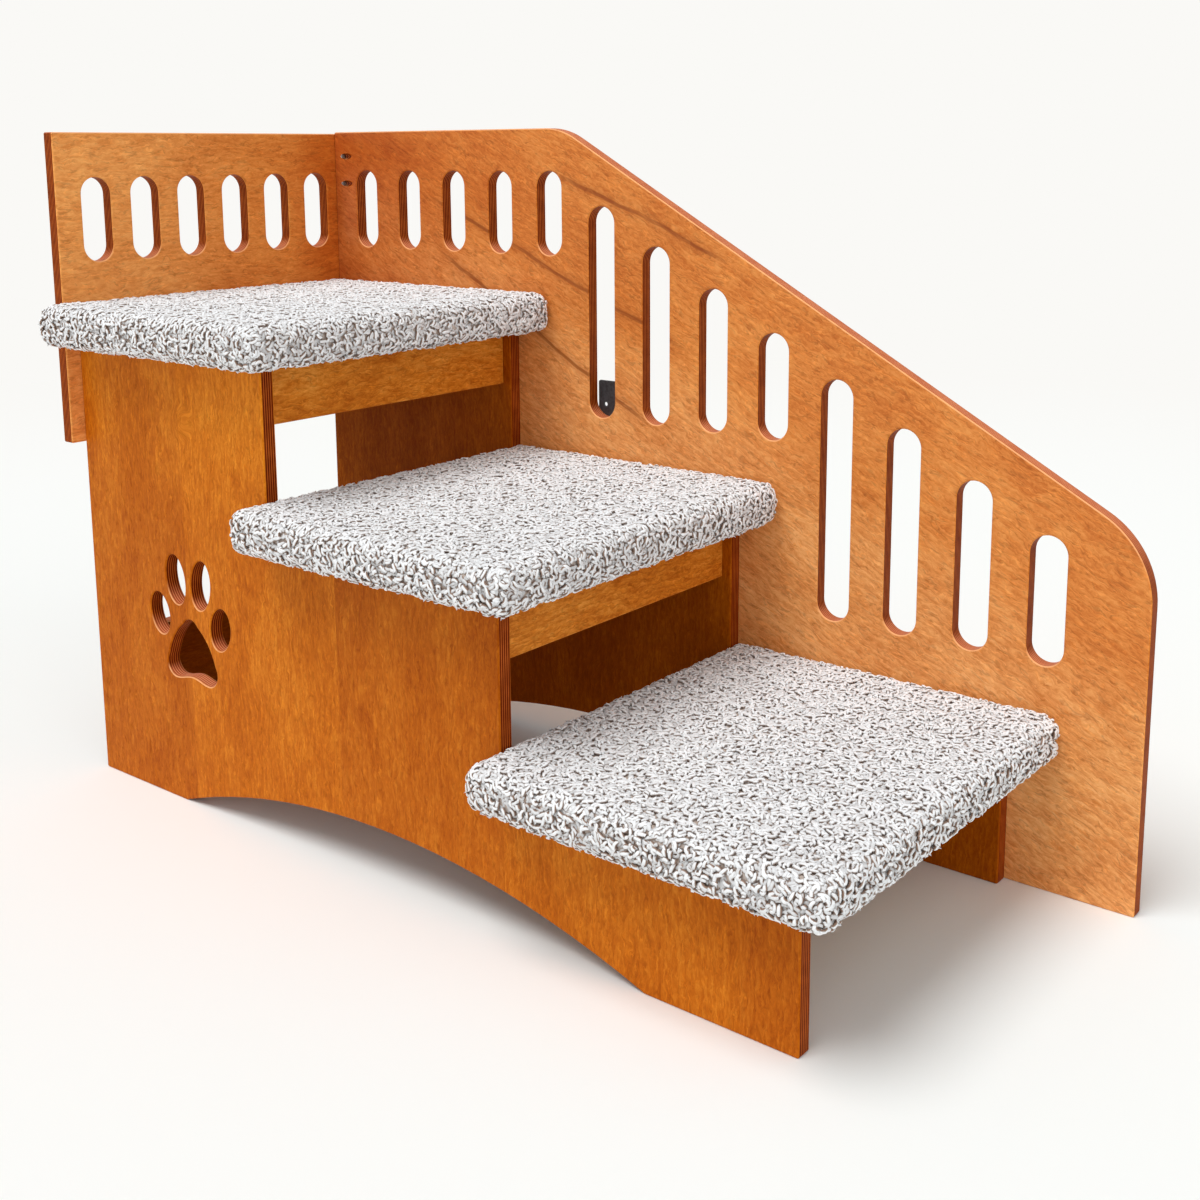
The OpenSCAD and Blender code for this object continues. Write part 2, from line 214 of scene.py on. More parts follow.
def bumps(height, strength, distance):
    """A normal that a wire's height tilts."""
    return height.node("Bump", inputs={
        "Strength": strength, "Distance": distance, "Height": height})


print("shader helpers ready")

# %% [markdown]
# ## The stage
#
# The picture has no horizon: the white floor runs into a white background. Near the object
# the floor is an ordinary pale surface, so that it takes shadows. Further away it turns into
# a plain glow of the background's colour. What the camera and reflections see of the world has
# that colour too, while the light that the world sheds is set apart from it.

# %% Floor and world
BACKGROUND = colour(250, 249, 246)
FLOOR_COLOUR = colour(248, 250, 248)
FLOOR_SIZE, FADE_START, FADE_END = 40.0, 1.2, 4.0
SKY_LIGHT = 0.38


def seen(wire):
    """1 for what the camera, a reflection or glass shows, 0 for what sheds light."""
    by_camera, by_gloss, by_glass = (
        wire.node("LightPath", output=f"Is {x} Ray") for x in ("Camera", "Glossy", "Transmission"))
    return by_camera.most(by_gloss).most(by_glass)


def make_floor():
    bpy.ops.mesh.primitive_plane_add(size=FLOOR_SIZE)
    floor = bpy.context.object
    floor.name = "floor"
    made, shader, wire = new_material("floor", Roughness=0.9, Specular_IOR_Level=0.1)
    place = wire.node("TexCoord", output="Object")
    far = wire.node("VectorMath", {"operation": "LENGTH"}, {0: place}, "Value")
    glow = wire.node("Emission", inputs={"Color": BACKGROUND, "Strength": 1.0})
    shader.inputs["Base Color"].default_value = FLOOR_COLOUR
    fade = far.step(FADE_START, FADE_END) * seen(wire)
    both = wire.node("MixShader", inputs={0: fade, 1: Wire(wire.tree, shader.outputs[0]), 2: glow})
    out = made.node_tree.nodes["Material Output"]
    made.node_tree.links.new(both.socket, out.inputs["Surface"])
    floor.data.materials.append(made)


def make_world():
    world = bpy.data.worlds.new("studio")
    world.use_nodes = True
    bpy.context.scene.world = world
    wire = Wire(world.node_tree)
    back = world.node_tree.nodes["Background"]
    back.inputs["Color"].default_value = BACKGROUND
    shown = Wire(wire.tree, back.outputs[0])
    light = wire.node("Background", inputs={"Color": (1, 1, 1, 1), "Strength": SKY_LIGHT})
    both = wire.node("MixShader", inputs={0: seen(wire), 1: light, 2: shown})
    out = world.node_tree.nodes["World Output"]
    world.node_tree.links.new(both.socket, out.inputs["Surface"])


make_floor()
make_world()
bpy.context.scene.view_settings.view_transform = "Standard"
print("floor and world ready")

# %% Lamps
# Each lamp's strength, its spread in degrees and the way it shines
LAMPS = {"key_lamp": (1.92, 36, (0.44, -0.11, -1.0)),
         "front_lamp": (0.95, 80, (0.55, 1.0, -0.35))}


def make_sun(name, strength, spread, towards):
    """A lamp as wide as a soft box, which shines the same all over the object."""
    lamp = bpy.data.lights.new(name, "SUN")
    lamp.energy, lamp.angle = strength, math.radians(spread)
    made = bpy.data.objects.new(name, lamp)
    made.rotation_euler = Vector(towards).to_track_quat("-Z", "Y").to_euler()
    bpy.context.collection.objects.link(made)


for name, settings in LAMPS.items():
    make_sun(name, *settings)
print("lamps:", list(LAMPS))

# %% [markdown]
# ## Sheets with softened edges
#
# Every edge that a hand or a paw meets is sanded round. A bevel modifier would round the pilot
# holes as well, so the edges are picked here: the outlines on the two flat faces that are
# longer than a hole, and the edges through the sheet at sharp corners. A bevel can't follow
# the construction's triangles well, so flat areas are first merged into large faces. Weighted
# normals keep those faces flat to the eye while the rounded edges shade smoothly.

# %% Picking edges
NEAR = 0.02 * MM
SHARP = math.radians(30)


def joined(left, neighbours):
    """Groups of mesh parts that hang together, sorted, as a set's order isn't fixed."""
    groups = []
    while left:
        first = min(left, key=lambda part: part.index)
        left.remove(first)
        group, following = [], [first]
        while following:
            part = following.pop()
            group.append(part)
            near = neighbours(part) & left
            left -= near
            following += near
        groups.append(sorted(group, key=lambda part: part.index))
    return groups


def rims(bm, axis, faces):
    """The outlines on the two flat faces, each a list of edges."""
    def flat(edge):
        places = [v.co[axis] for v in edge.verts]
        return any(all(abs(p - f) < NEAR for p in places) for f in faces)

    picked = {e for e in bm.edges
              if len(e.link_faces) == 2 and flat(e) and e.calc_face_angle(0) > SHARP}
    return joined(picked, lambda edge: {e for v in edge.verts for e in v.link_edges})


def corner_edges(bm, axis, thickness):
    """Sharp edges that run straight through the sheet."""
    return [e for e in bm.edges if len(e.link_faces) == 2
            and abs(abs(e.verts[0].co[axis] - e.verts[1].co[axis]) - thickness) < NEAR
            and e.calc_face_angle(0) > SHARP]


def span(edges):
    """The longer side of the box round some edges."""
    places = np.array([v.co for e in edges for v in e.verts])
    return float((places.max(0) - places.min(0)).max())


print("sharp edges turn more than", round(math.degrees(SHARP)), "degrees")

# %% Softened sheets
EDGE_RADIUS = 2.0 * MM
EDGE_STEPS = 3
SMALLEST_RIM = 28 * MM
FLAT_TURN = math.radians(0.1)
EVEN_WEIGHT = 90


def add_piece(name, mesh, slot, *replaced):
    """Puts a mesh in the scene as a piece that stands for these nodes."""
    piece = bpy.data.objects.new(name, mesh)
    bpy.context.collection.objects.link(piece)
    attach(piece, "root")
    if replaced:
        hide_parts(*replaced)
    return piece


def thin_axis(low, high):
    """The axis that runs through a sheet."""
    return min(range(3), key=lambda i: high[i] - low[i])


def softened(node, name, slot, radius=EDGE_RADIUS, smallest=SMALLEST_RIM):
    """A copy of a CAD sheet with its long edges rounded."""
    low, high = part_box(node)
    axis = thin_axis(low, high)
    bm = bmesh.new()
    bm.from_mesh(nodes[node].data)
    bmesh.ops.remove_doubles(bm, verts=bm.verts, dist=NEAR / 2)
    bmesh.ops.dissolve_limit(bm, angle_limit=FLAT_TURN, verts=bm.verts, edges=bm.edges)
    chosen = [e for rim in rims(bm, axis, (low[axis], high[axis])) if span(rim) > smallest
              for e in rim]
    chosen += corner_edges(bm, axis, high[axis] - low[axis])
    bmesh.ops.bevel(bm, geom=chosen, offset=radius, offset_type="OFFSET", segments=EDGE_STEPS,
                    profile=0.5, affect="EDGES", clamp_overlap=False)
    bmesh.ops.recalc_face_normals(bm, faces=bm.faces)
    mesh = bpy.data.meshes.new(name)
    bm.to_mesh(mesh)
    bm.free()
    mesh.shade_smooth()
    piece = add_piece(name, mesh, slot, node)
    even = piece.modifiers.new("even shading", "WEIGHTED_NORMAL")
    even.weight = EVEN_WEIGHT
    print(name, "edges rounded:", len(chosen), "faces:", len(mesh.polygons))
    return piece


# %% [markdown]
# ## Stained plywood
#
# Birch-like veneer under an amber stain and satin varnish. Its look has layers, and each is
# one noise, stretched along the grain: broad clouds where the stain soaked in unevenly, a
# curly figure, fibres and fine flecks. Over these lie two sets of short curved dashes: dark
# ones where the pores took more stain, and pale glints, which are painted highlights. A dash
# is a piece of the line where a noise passes through its middle value. Such a line is thin
# and bends, as the real ones do, while a threshold would give dots.

# %% Noise along the grain
UPRIGHT, LEVEL, FORWARD = (0, 0, 1), (1, 0, 0), (0, -1, 0)
LINE_WIDTH, GATE_OPENS = 0.06, (0.46, 0.56)
# Each layer's features per metre along and across the grain, then its octaves, and for some
# its roughness and distortion
DRIFT = ((5, 12), 2.0)
CLOUDS = ((6, 16), 3.0, 0.5, 0.4)
FIGURE = ((30, 70), 4.0, 0.62, 1.6)
FIBRES = ((34, 260), 3.0, 0.65, 0.3)
FLECKS = ((120, 520), 2.0, 0.6, 0.8)
CURLS = ((38, 210), 1.0, 0.5, 0.4)
GATES = ((42, 130), 1.0)


def noise(wire, place, scale, detail, roughness=0.5, distortion=0.0):
    return wire.node("TexNoise", inputs={
        "Vector": place, "Scale": scale, "Detail": detail, "Roughness": roughness,
        "Distortion": distortion})


def grained(ahead, side, deep, per_metre, *settings):
    """Noise with its lengths scaled along and across the grain."""
    by_grain, by_side = per_metre
    place = ahead.node("CombineXYZ", inputs={
        0: ahead * by_grain, 1: side * by_side, 2: deep * by_side})
    return noise(ahead, place, 1.0, *settings)


def dashes(ahead, side, deep, shift):
    """Short curved lines: pieces of one noise's contour lines, cut off by another."""
    curl = grained(ahead + shift, side, deep, *CURLS)
    line = (curl - 0.5).absolute().step(0.0, LINE_WIDTH, 1.0, 0.0)
    return line * grained(ahead - shift, side, deep, *GATES).step(*GATE_OPENS)


print("fibres are about", round(1000 / FIBRES[0][1], 1), "mm apart")

# %% Veneer
PORE_STAIN, PORES, PORE_SHIFT = colour(122, 48, 8), 0.3, 3.1
# The pale glints are painted highlights on the curly figure
GLINT, GLINTS, GLINT_SHIFT = (1.17, 1.22, 1.2), 0.8, 7.7
DRIFT_REACH, WAVE_REACH = 30 * MM, 12 * MM
TONE_PLACES = (0.15, 0.5, 0.85)
CLOUD_SHARE, FIGURE_SHARE, FIBRE_SHARE, FLECK_SHARE = 0.26, 0.14, 0.34, 0.24
# Past a seam the figure comes from another place of the tree
SEAM, TINT_SEAM, SEAM_JUMP = 0.2 * MM, 0.3 * MM, 0.43
KNOT_SWELL = 0.8
SATIN, PORE_DULL, FIBRE_RELIEF = (0.5, 0.42), 0.15, 0.4


def veneer(wire, place, grain, side, deep, look):
    """The face veneer's colour, its roughness and its relief."""
    ahead = grain + look.get("offset", 0.0)
    for y, _ in look.get("seams", ()):
        ahead = ahead + place.along(FORWARD).step(-y, -y + SEAM, 0.0, SEAM_JUMP)
    bent = side + (grained(ahead, side, deep, *DRIFT) - 0.5) * DRIFT_REACH
    for centre, size in look.get("knots", ()):
        away = wire.node("VectorMath", {"operation": "DISTANCE"}, {0: place, 1: centre}, "Value")
        bent = bent + away.step(0.0, size, size * KNOT_SWELL, 0.0)
    clouds = grained(ahead, bent, deep, *CLOUDS)
    figure = grained(ahead, bent, deep, *FIGURE)
    wavy = bent + (figure - 0.5) * WAVE_REACH
    fibres = grained(ahead, wavy, deep, *FIBRES)
    flecks = grained(ahead, wavy, deep, *FLECKS)
    tone = (clouds.middle(0.2) * CLOUD_SHARE + figure.middle(0.22) * FIGURE_SHARE
            + fibres.middle(0.18) * FIBRE_SHARE + flecks.middle(0.14) * FLECK_SHARE)
    pores = dashes(ahead, wavy, deep, PORE_SHIFT)
    wood = (pores * PORES).mix(tone.ramp(TONE_PLACES, look["tones"]), PORE_STAIN)
    # Painted highlights: pale glints along the figure
    wood = (dashes(ahead, wavy, deep, GLINT_SHIFT) * GLINTS).tint(wood, GLINT)
    for y, tint in look.get("seams", ()):
        wood = place.along(FORWARD).step(-y, -y + TINT_SEAM).tint(wood, tint)
    # Tints along a direction; on the railing and the back rail they are painted light and shade
    for way, start, end, tint in look.get("tints", ()):
        wood = place.along(way).step(start, end).tint(wood, tint)
    for streak_mask in look.get("streaks", ()):
        wood = streak_mask(place).mix(wood, STREAK_STAIN)
    roughness = clouds.middle(0.3, *SATIN) + pores * PORE_DULL
    return wood, roughness, fibres * FIBRE_RELIEF - pores


print("veneer ready, with seams", SEAM / MM, "mm wide")

# %% [markdown]
# On a cut edge the plies show as red-brown stripes. The stripes are a function of the depth
# below the flat faces. So they follow every contour by themselves, and on a rounded edge the
# outer veneer wears through to the first dark ply. Edges that face up are painted paler, as
# light from above falls on them, and a painted highlight runs as a pale line along a rounded
# edge that faces up.

# %% Plies
VENEER, PLY = 1.6 * MM, 1.5 * MM
STAINED_EDGE = (colour(98, 30, 2), colour(142, 54, 8), colour(208, 110, 44))
# Edge tones for what faces up: painted paler, as light from above falls on it
TOP_LIT_EDGE = (colour(176, 84, 48), colour(212, 120, 76), colour(240, 162, 114))
EDGE_PLACES = (0.0, 0.45, 1.0)
# The painted highlight along rounded edges that face up
ARRIS_HIGHLIGHT = colour(248, 184, 130)
WAVER, CUT_GRAIN = ((30, 30), 2.0), ((60, 60), 4.0, 0.7)
WAVER_REACH, PALE_PLY, PLY_SHARE = 0.3, (0.48, 0.86), 0.86


def ply_edge(wire, grain, side, deep, tones):
    """Stripes over the depth, which waver a little, with the end grain's fine speckle.
    What faces up is painted paler, as light from above falls on it."""
    wave = deep.maths("PINGPONG", deep, PLY)
    waver = grained(grain, side, deep, *WAVER)
    ply = (wave / PLY + (waver - 0.5) * WAVER_REACH).step(*PALE_PLY)
    cut = grained(grain, side, deep, *CUT_GRAIN)
    edge = ply * PLY_SHARE + cut.middle(0.2) * (1 - PLY_SHARE)
    plain, top_lit = (edge.ramp(EDGE_PLACES, three) for three in tones)
    facing = wire.node("TexCoord", output="Normal")
    return facing.along(UPRIGHT).step(0.2, 0.8).mix(plain, top_lit)


def arris_highlight(wire, through, wear_and_highlight):
    """Where a highlight is painted: 1 on a rounded edge that faces up, patchy along the wear noise.
    """
    facing = wire.node("TexCoord", output="Normal")
    turn = facing.along(through).absolute()
    rounded = turn.step(0.2, 0.5) * turn.step(0.86, 0.98, 1.0, 0.0)
    return rounded * facing.along(UPRIGHT).step(0.1, 0.5) * wear_and_highlight.step(0.2, 0.5, 0.5, 0.85)


print("plies ready: veneer", VENEER / MM, "mm, plies", PLY / MM, "mm")

# %% Plywood
EDGE_GLOSS, FACE_GLOSS = 0.03, 0.2
WEAR_AND_HIGHLIGHT_SCALE, WORN_REACH, WORN_EDGE = 90.0, 0.5 * MM, 0.3 * MM
GRAIN_BUMP = (0.2, 0.2 * MM)
CUT_FACING = 0.8


def stained_ply(name, node, direction, look, gloss):
    """Plywood with its grain along direction."""
    low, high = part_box(node)
    axis = thin_axis(low, high)
    through = Vector([float(i == axis) for i in range(3)])
    aside = through.cross(Vector(direction)).normalized()
    made, shader, wire = new_material(name, Specular_IOR_Level=gloss)
    place = wire.node("TexCoord", output="Object")
    grain, side = place.along(direction), place.along(aside)
    deep = place.along(through) - low[axis]
    wood, roughness, relief = veneer(wire, place, grain, side, deep, look)
    from_face = deep.least(high[axis] - low[axis] - deep)
    # One noise sets where the veneer wears through and makes the painted highlight patchy
    wear_and_highlight = noise(wire, place, WEAR_AND_HIGHLIGHT_SCALE, 2.0)
    face = (from_face + (wear_and_highlight - 0.5) * WORN_REACH).step(VENEER, VENEER + WORN_EDGE, 1.0, 0.0)
    edge = ply_edge(wire, grain, side, deep, look.get("edges", (STAINED_EDGE, TOP_LIT_EDGE)))
    feed(shader, Base_Color=arris_highlight(wire, through, wear_and_highlight).mix(face.mix(edge, wood), ARRIS_HIGHLIGHT),
         Roughness=roughness, Normal=bumps(relief, *GRAIN_BUMP))
    return made


def finish_sheet(piece, node, direction, look):
    """Satin varnish on the flat faces. The end grain of the edges drinks it and stays duller."""
    axis = thin_axis(*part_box(node))
    gloss = look.get("gloss", FACE_GLOSS)
    for ending, shine in (("_finish", gloss), ("_edge_finish", EDGE_GLOSS)):
        piece.data.materials.append(stained_ply(node + ending, node, direction, look, shine))
    for face in piece.data.polygons:
        face.material_index = int(abs(face.normal[axis]) < CUT_FACING)


print("plywood ready")

# %% [markdown]
# ## Dark mineral streaks
#
# The railing's veneer has a few long dark streaks that run with the grain. Each is a thin
# line with a soft halo, round a straight line in the sheet's plane. It fades at both ends, and
# a slow noise bends it.

# %% Streaks
STREAK_STAIN = colour(142, 64, 18)
STREAK_WIDTH, STREAK_STRENGTH, STREAK_END = 6 * MM, 0.8, 60 * MM
CORE_SHARE, HALO_SHARE = 0.72, 0.28
WOBBLE, WOBBLE_REACH = ((9, 9), 3.0), 18 * MM
BREAKS = ((14, 120), 2.0)


def streak(start, end, width=STREAK_WIDTH):
    """start and end are (y, z) in metres on the railing."""
    start, end = Vector(start), Vector(end)
    length = (end - start).length
    way = (end - start) / length
    over = Vector((-way.y, way.x))

    def mask(place):
        ahead = place.along((0, *way)) - start.dot(way)
        across = place.along((0, *over)) - start.dot(over)
        across = across + (grained(ahead, across, across, *WOBBLE) - 0.5) * WOBBLE_REACH
        away = across.absolute()
        fade = grained(ahead, across, across, *BREAKS)
        core = away.step(width * 0.2, width * 0.5, CORE_SHARE, 0.0)
        halo = away.step(width * 0.4, width * 2.2, HALO_SHARE, 0.0)
        ends = ahead.step(0.0, STREAK_END) * ahead.step(length - STREAK_END, length, 1.0, 0.0)
        return (core + halo) * fade.step(0.2, 0.6, 0.3, 1.0) * ends * STREAK_STRENGTH
    return mask


print("streaks fade over", round(STREAK_END / MM), "mm")

# %% [markdown]
# ## The sheets and their veneers
#
# The near and far panels have upright grain. The near one is glued up from strips of veneer
# that each took the stain a little differently, with a small knot near the top. The far panel
# and the rear stretcher get darker tones, painted shade, as they stand inside the stairs. On
# the railing the grain runs down with the slope. The railing and the back rail are painted
# darker and redder towards the corner where they meet, as shade in that corner. The railing
# is also painted darker in its upper part, so that its lower part looks lit by light bounced
# up from the white carpets. The back rail and the cross boards have level grain.

# %% Looks of the sheets
SLOPE = math.radians(25)
DOWNHILL = (0, -math.cos(SLOPE), -math.sin(SLOPE))
UPHILL_ACROSS = (0, -math.sin(SLOPE), math.cos(SLOPE))
PALE_STRIP = (1.14, 1.22, 1.3)
joint_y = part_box("back_rail")[0].y


def on_rail(back, height):
    """A place on the railing, from how far it is in front of the corner and its height, in mm."""
    return joint_y - back * MM, height * MM


PANEL = {
    "tones": (colour(166, 78, 6), colour(188, 97, 14), colour(206, 118, 28)), "gloss": 0.06,
    "seams": [(joint_y - back * MM, tint) for back, tint in (
        (189, PALE_STRIP), (447, (0.87, 0.80, 0.74)),
        (683, PALE_STRIP), (959, (0.91, 0.85, 0.8)))],
    "tints": [(UPRIGHT, 0.3, 0.5, (1.19, 1.28, 1.26))],
    "knots": [((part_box("near_side_panel")[0].x, joint_y - 193 * MM, 464 * MM), 26 * MM)]}
# Darker tones of the same stain, painted shade, for sheets that stand inside the stairs
SHADED = {
    "tones": (colour(142, 64, 2), colour(162, 78, 4), colour(184, 98, 12)), "gloss": 0.03}
RAIL = {
    "tones": (colour(214, 128, 60), colour(238, 160, 90), colour(253, 186, 118)), "gloss": 0.3,
    # Painted light and shade: darker up high and towards the corner, paler low down where the
    # carpets light it
    "tints": [(UPHILL_ACROSS, 0.38, 0.50, (0.88, 0.70, 0.46)),
              ((0, 1, 0), -0.1, joint_y, (0.84, 0.66, 0.48)),
              ((0, 1, 0), joint_y - 260 * MM, joint_y, (0.78, 0.62, 0.5))],
    "streaks": [streak(on_rail(385, 746), on_rail(675, 634)),
                streak(on_rail(170, 714), on_rail(620, 526)),
                streak(on_rail(185, 647), on_rail(560, 430))]}
BACK = {
    "tones": (colour(217, 130, 60), colour(237, 156, 82), colour(250, 178, 102)), "gloss": 0.12,
    # Painted shade: darker towards the corner where the back rail meets the railing
    "tints": [(LEVEL, -0.15, 0.12, (0.86, 0.70, 0.5)), (LEVEL, 0.12, 0.21, (0.82, 0.62, 0.4))]}
APRON = {
    "tones": (colour(184, 94, 14), colour(214, 126, 34), colour(236, 158, 64)), "gloss": 0.1}
print("the near panel has", len(PANEL["seams"]) + 1, "strips of veneer")

# %% Make the sheets
# Each sheet's figure starts this far along the grain from the last one's
SHEET_SHIFT = 1.7
SHEETS = {
    "near_side_panel": ("upright_ply", UPRIGHT, PANEL),
    "far_side_panel": ("upright_ply", UPRIGHT, SHADED),
    "side_rail": ("rail_ply", DOWNHILL, RAIL),
    "back_rail": ("rail_ply", LEVEL, BACK),
    "top_apron": ("apron_ply", LEVEL, APRON),
    "middle_apron": ("apron_ply", LEVEL, APRON),
    "rear_stretcher": ("apron_ply", LEVEL, SHADED),
}
for number, (node, (slot, direction, look)) in enumerate(SHEETS.items()):
    piece = softened(node, node + "_ply", slot)
    finish_sheet(piece, node, direction, {**look, "offset": number * SHEET_SHIFT})

# %% [markdown]
# ## Carpet
#
# Each tread board is wrapped in a white and grey loop-pile carpet. Seen close, it is a mat of
# short thick yarns that lie in swirls, with brown-grey gaps between. A bump map can't give
# its ragged outline, and hair has no mesh, so every yarn is a small closed tube. The carpet's
# outer form is a rounded box, and one formula gives the distance from it and the way out of
# it. A yarn walks over that form along a smooth field of directions, rises out of the backing
# and dips into it again, or ends free, as most do on the carpet's sides.

# %% The carpet's form and backing
PILE_ROUND = 16.4 * MM
BACKING_DEPTH, BACKING_GRID, SINK_REACH = 2.7 * MM, 3.5 * MM, 7 * MM


def from_form(places, low, high):
    """Distance of places outside a rounded box, and the way out."""
    middle, half = (low + high) / 2, (high - low) / 2 - PILE_ROUND
    away = (places - middle) - np.clip(places - middle, -half, half)
    size = np.maximum(np.linalg.norm(away, axis=1), 1e-9)
    return size - PILE_ROUND, away / size[:, None]


def backing(node, name):
    """The woven backing: the CAD carpet's outer skin pushed in below the pile."""
    low, high = (np.array(corner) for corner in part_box(node))
    piece = add_piece(name, nodes[node].data.copy(), "carpet", node)
    grid = piece.modifiers.new("even grid", "REMESH")
    grid.mode, grid.voxel_size = "VOXEL", BACKING_GRID
    evaluated = piece.evaluated_get(bpy.context.evaluated_depsgraph_get())
    mesh = bpy.data.meshes.new_from_object(evaluated)
    piece.modifiers.clear()
    mesh.name = name
    places = np.empty(len(mesh.vertices) * 3)
    mesh.vertices.foreach_get("co", places)
    places = places.reshape(-1, 3)
    gap, out = from_form(places, low, high)
    sunk = BACKING_DEPTH * np.clip(1 + gap / SINK_REACH, 0, 1)
    places -= out * sunk[:, None]
    mesh.vertices.foreach_set("co", places.ravel())
    mesh.shade_smooth()
    piece.data = mesh
    print(name, "faces:", len(mesh.polygons))
    return piece


# %% Where yarns stand
YARN_SPACING = 4.25 * MM
SWIRL, WAVES = (12 * MM, 30 * MM), 14
DRAWS_PER_CELL, CELL_SHIFT, MOST_CELLS = 10, 0.37, 4096


def swirls(rng):
    """A smooth random direction at any place: a sum of waves in three directions."""
    lengths = rng.uniform(*SWIRL, (3, WAVES))
    ways = rng.normal(size=(3, WAVES, 3))
    ways *= (2 * math.pi / lengths / np.linalg.norm(ways, axis=2))[:, :, None]
    phases = rng.uniform(0, 2 * math.pi, (3, WAVES))
    return lambda places: np.stack(
        [np.sin(places @ ways[i].T + phases[i]).sum(1) for i in range(3)], 1)


def scattered(rng, low, high, spacing):
    """Places on the form, one in each cube of a grid that it passes through."""
    size, draws = high - low, []
    for axis in range(3):
        count = int(DRAWS_PER_CELL * np.prod(np.delete(size, axis)) / spacing ** 2)
        for end in (low, high):
            places = rng.uniform(low, high, (count, 3))
            places[:, axis] = end[axis]
            draws.append(places)
    places = np.concatenate(draws)
    gap, out = from_form(places, low, high)
    places = places - out * gap[:, None]
    cells = np.floor((places - low) / spacing + CELL_SHIFT).astype(np.int64)
    key = (cells[:, 0] * MOST_CELLS + cells[:, 1]) * MOST_CELLS + cells[:, 2]
    order = rng.permutation(len(places))
    _, first = np.unique(key[order], return_index=True)
    chosen = places[order[first]]
    return chosen, from_form(chosen, low, high)[1]


print("a yarn stands every", YARN_SPACING / MM, "mm")

# %% A yarn's walk
# How high a yarn stands at each of its six rings, and its outline there: across, up and crown
RISE = (0.0, 0.86, 1.0, 1.0, 0.95, 0.0)
OUTLINE = ((-1.0, -1.1, 0.0), (-0.82, -0.42, 0.22), (-0.4, -0.05, 1.0),
           (0.4, -0.05, 1.0), (0.82, -0.42, 0.22), (1.0, -1.1, 0.0))
CORNERS = 2 + len(OUTLINE) * (len(RISE) - 2)
# The walk goes both ways from the middle, by these shares of the yarn's length
WALKS = ((-1, (2, 1, 0)), (1, (3, 4, 5)))
WALK_SHARES = (0.1, 0.2, 0.2)
# How strongly the yarns on the sides hang down
DOWNWARD = 1.2


def unit(vectors):
    return vectors / np.maximum(np.linalg.norm(vectors, axis=1), 1e-9)[:, None]


def turned_about(vectors, axes, angles):
    """Vectors at right angles to their axes, turned about them."""
    return (vectors * np.cos(angles)[:, None]
            + np.cross(axes, vectors) * np.sin(angles)[:, None])


def yarn_path(middles, outs, lengths, leans, bends, field, low, high):
    """Places along each yarn, the way out at each and the way across."""
    places, ups, sides = ([None] * len(RISE) for _ in range(3))
    for way, numbers in WALKS:
        here, out = middles, outs
        for turns, (number, share) in enumerate(zip(numbers, WALK_SHARES)):
            flow = field(here)
            flow[:, 2] -= DOWNWARD * (1 - np.abs(out[:, 2]))
            flow = unit(flow - (flow * out).sum(1)[:, None] * out)
            flow = turned_about(flow, out, leans + bends * turns * way)
            here = here + flow * (way * share * lengths)[:, None]
            gap, out = from_form(here, low, high)
            here = here - out * gap[:, None]
            places[number], ups[number], sides[number] = here, out, np.cross(out, flow)
    return places, ups, sides


print("a yarn has", CORNERS, "corners")

# %% The yarns of one carpet
YARN_LENGTH = (7 * MM, 14 * MM)
YARN_HALF, STEEP_WIDER = (1.6 * MM, 2.1 * MM), 0.2
LEAN, BEND_IN = 0.8, 0.45
# Crests in mm: on the top they follow the square of a yarn's height, and a side adds to that
TOP_CREST, SIDE_CREST = (2.5, -0.9), (2.6, -1.2)
ROOT_BELOW = 0.5 * MM
# The share of yarns that end free on the top, what a side adds to it, and how high tips stand
FREE_SHARE, SIDE_FREE_SHARE, TIP_RISE = 0.25, 0.5, (0.8, 1.3)
# The crown's shade is raised to a power: this on the top, and so much more on a side
TOP_SHADE, SIDE_SHADE = 0.7, 1.3
# A yarn's tone varies at random and is lighter the higher it stands; on a side it is made darker,
# painted shade
TONE_START, TONE_BY_HEIGHT, TONE_SPREAD, SIDE_PAINTED_SHADE = 0.2, 0.6, 0.12, 0.1
TONE_RANGE = (0.03, 0.97)
# The top carpet's rear side is pressed flat against the back rail
PRESSED_GAP = 0.2 * MM


